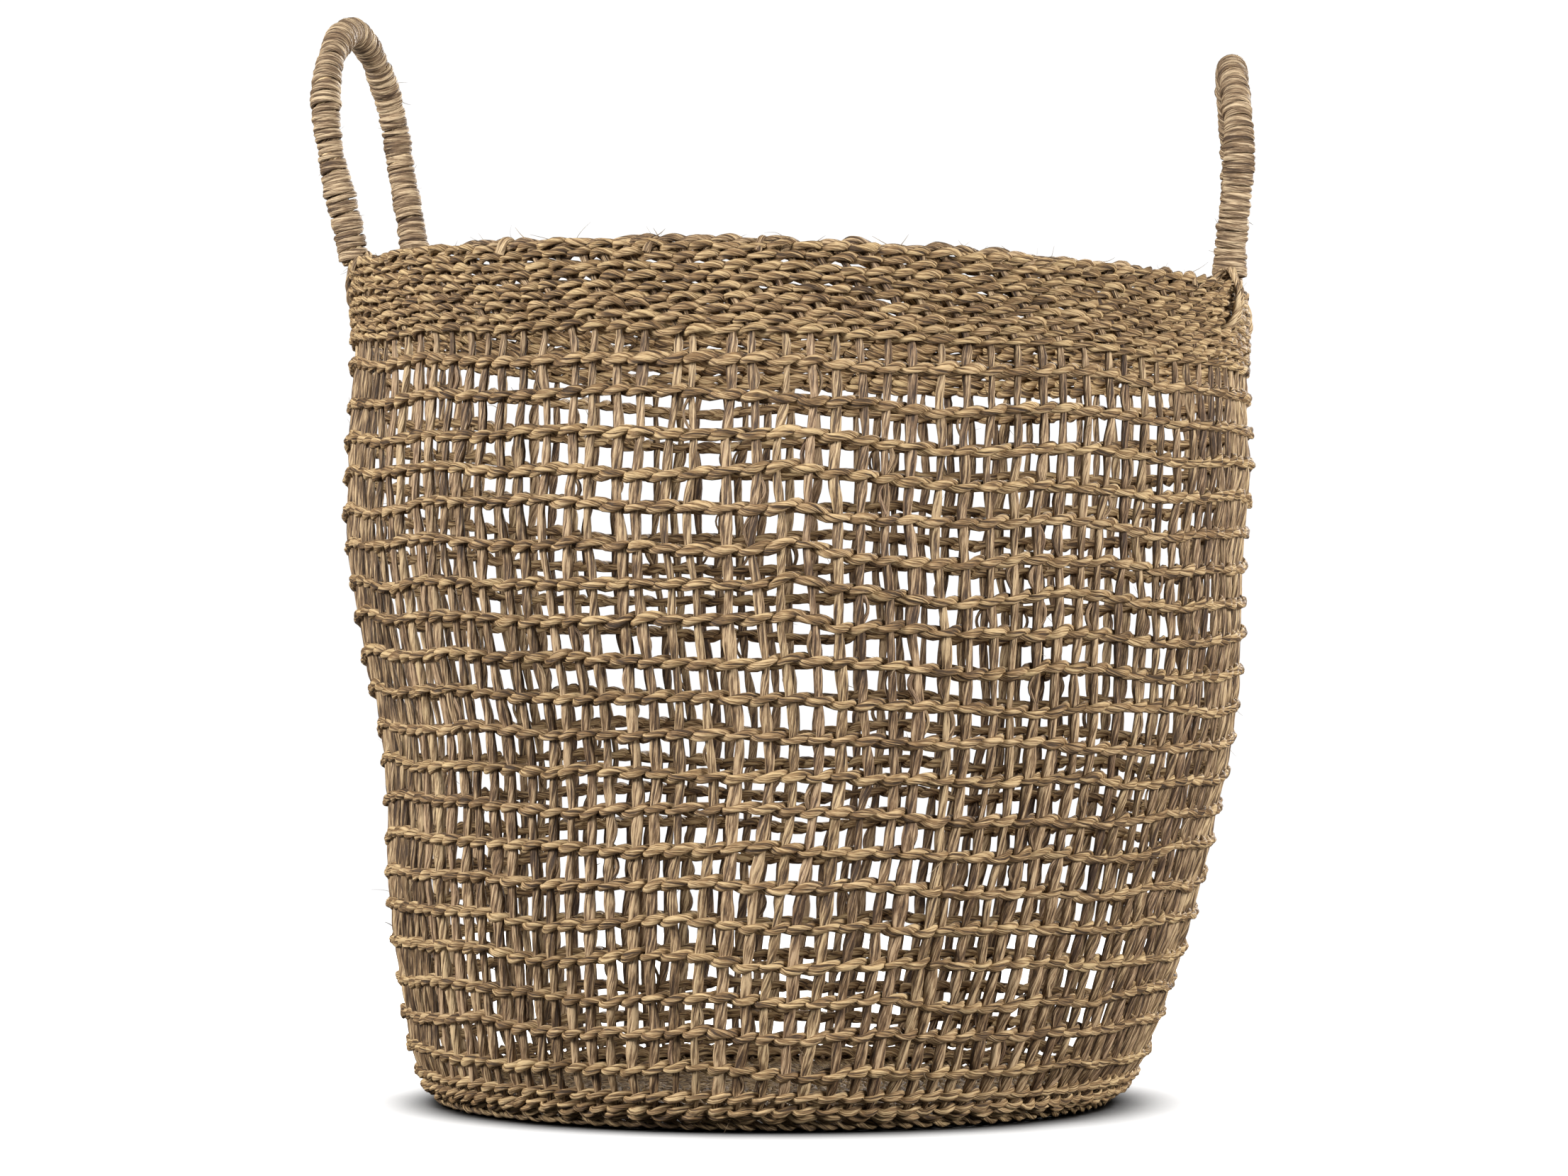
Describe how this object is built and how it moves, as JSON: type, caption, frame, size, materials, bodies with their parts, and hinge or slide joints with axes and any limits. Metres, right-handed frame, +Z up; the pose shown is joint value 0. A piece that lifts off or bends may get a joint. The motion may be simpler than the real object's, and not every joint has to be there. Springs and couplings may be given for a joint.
{
  "type": "storage basket",
  "caption": "Round open-weave seagrass storage basket with a dense woven rim band, a narrower rounded base and two wrapped loop handles that fold inward and outward.",
  "frame": {"origin": "on the floor, under the centre of the base", "axes": "+Z up out of the opening; +X towards the right handle and -X towards the left handle; -Y is the front"},
  "size_m": [0.4212, 0.4008, 0.4852],
  "materials": {
    "stake_cord": "matte twisted seagrass cord",
    "weft_cord": "matte twisted seagrass cord",
    "base_weave": "matte woven seagrass",
    "core_cord": "matte seagrass rope",
    "wrap_twine": "matte coiled seagrass twine"
  },
  "bodies": {
    "basket": {"base_mat": "base_weave", "base_edge_row": "weft_cord", "tight_row_lower": "weft_cord", "tight_row_upper": "weft_cord", "weft_row_01": "weft_cord", "weft_row_02": "weft_cord", "weft_row_03": "weft_cord", "weft_row_04": "weft_cord", "weft_row_05": "weft_cord", "weft_row_06": "weft_cord", "weft_row_07": "weft_cord", "weft_row_08": "weft_cord", "weft_row_09": "weft_cord", "weft_row_10": "weft_cord", "weft_row_11": "weft_cord", "weft_row_12": "weft_cord", "weft_row_13": "weft_cord", "weft_row_14": "weft_cord", "weft_row_15": "weft_cord", "weft_row_16": "weft_cord", "weft_row_17": "weft_cord", "weft_row_18": "weft_cord", "weft_row_19": "weft_cord", "weft_row_20": "weft_cord", "band_row_01": "weft_cord", "band_row_02": "weft_cord", "band_row_03": "weft_cord", "band_row_04": "weft_cord", "band_row_05": "weft_cord", "band_row_06": "weft_cord", "band_row_07": "weft_cord", "band_row_08": "weft_cord", "band_row_09": "weft_cord", "rim_roll": "weft_cord", "stakes_right": "stake_cord", "stakes_back": "stake_cord", "stakes_left": "stake_cord", "stakes_front": "stake_cord", "handle_left_lashing_front": "core_cord", "handle_left_lashing_back": "core_cord", "handle_right_lashing_front": "core_cord", "handle_right_lashing_back": "core_cord"},
    "handle_left": {"handle_left_core": "core_cord", "handle_left_wrap": "wrap_twine"},
    "handle_right": {"handle_right_core": "core_cord", "handle_right_wrap": "wrap_twine"}
  },
  "joints": [
    {"name": "left_handle_swing", "type": "hinge", "parent": "basket", "child": "handle_left", "pos_m": [-0.19654, 0.01823, 0.3834], "axis": [-0.0924, -0.9957, 0], "range_deg": [-70, 50], "stiffness_Nm_per_rad": 0.12},
    {"name": "right_handle_swing", "type": "hinge", "parent": "basket", "child": "handle_right", "pos_m": [0.18817, 0.01746, 0.3692], "axis": [-0.0924, 0.9957, 0], "range_deg": [-63, 57], "stiffness_Nm_per_rad": 0.12}
  ]
}
